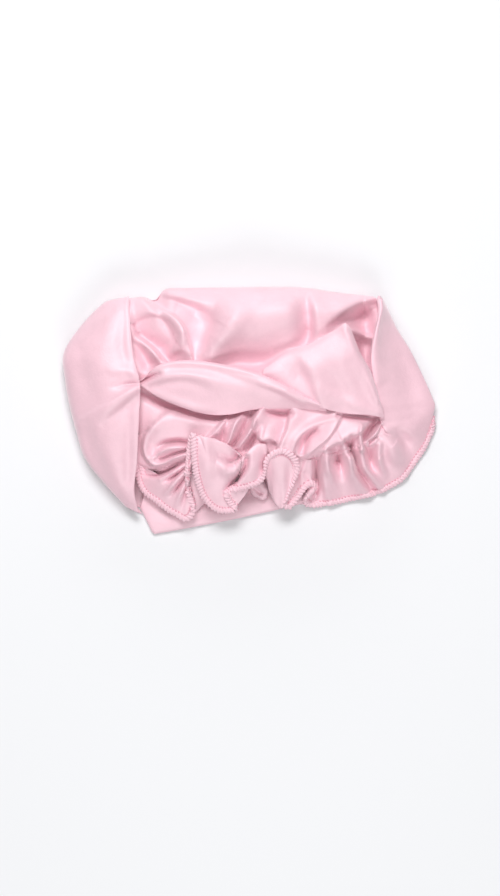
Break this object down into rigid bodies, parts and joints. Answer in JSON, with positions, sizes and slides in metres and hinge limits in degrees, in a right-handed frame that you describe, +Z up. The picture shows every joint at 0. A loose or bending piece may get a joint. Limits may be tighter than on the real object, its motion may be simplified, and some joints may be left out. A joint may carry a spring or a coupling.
{
  "type": "sleep bonnet",
  "caption": "Loose satin sleep bonnet folded flat: gathered crown, elastic casing round the head opening, and a wide ruffle with a chunky overlocked hem.",
  "frame": {"origin": "middle of the bounding box's underside, on the surface that the folded bonnet lies on", "axes": "+Z up, away from that surface; +X along the bundle's length; +Y away from the front run of the ruffle"},
  "size_m": [0.1886, 0.124, 0.0377],
  "materials": {
    "satin": "smooth pale pink satin with a soft sheen",
    "thread": "matt pink overlock thread"
  },
  "bodies": {
    "root": {"crown": "satin", "elastic_casing": "satin", "ruffle": "satin", "overlocked_hem": "thread"}
  },
  "joints": []
}
